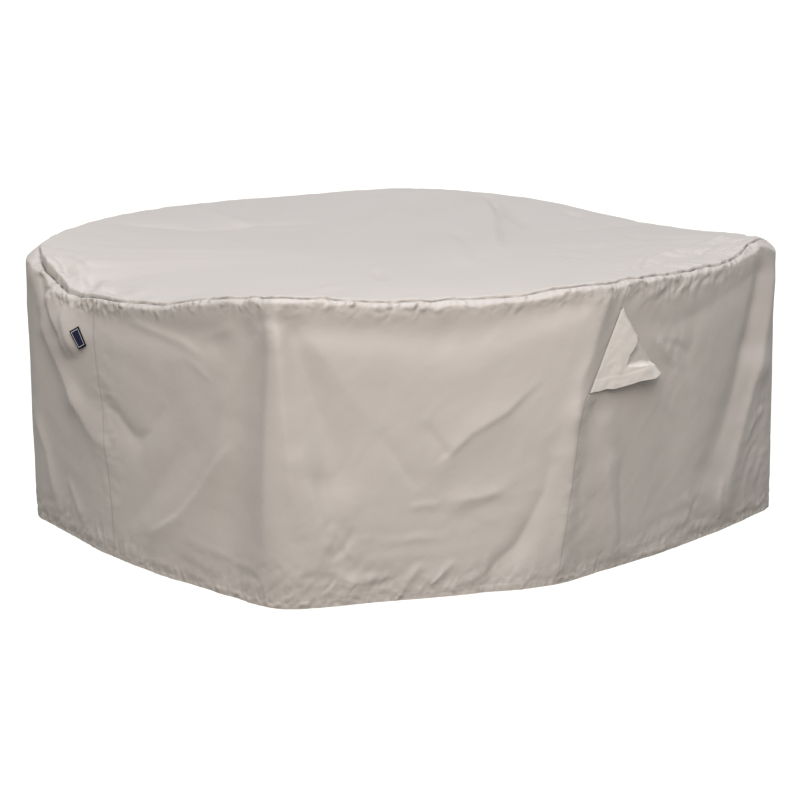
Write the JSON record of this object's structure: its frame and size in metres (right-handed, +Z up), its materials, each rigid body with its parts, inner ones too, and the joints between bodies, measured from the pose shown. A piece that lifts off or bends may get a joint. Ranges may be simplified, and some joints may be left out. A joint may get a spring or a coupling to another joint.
{
  "type": "patio dining set cover",
  "caption": "Fitted cloth cover for a round patio dining set: a flat top sewn to a hanging skirt that drapes in folds to the ground, with a vent hood and a woven label.",
  "frame": {"origin": "on the ground, under the middle of the cover's bounding box", "axes": "+Z up, the camera of the picture looks along +Y, and +X is to its right"},
  "size_m": [2.5458, 2.5318, 0.945],
  "materials": {
    "cover_cloth": "coated, soft sheen",
    "label_cloth": "woven, matt"
  },
  "bodies": {
    "root": {"top_panel": "cover_cloth", "skirt_front": "cover_cloth", "skirt_right": "cover_cloth", "skirt_back": "cover_cloth", "skirt_left": "cover_cloth", "vent_hood": "cover_cloth", "label": "label_cloth"}
  },
  "joints": []
}
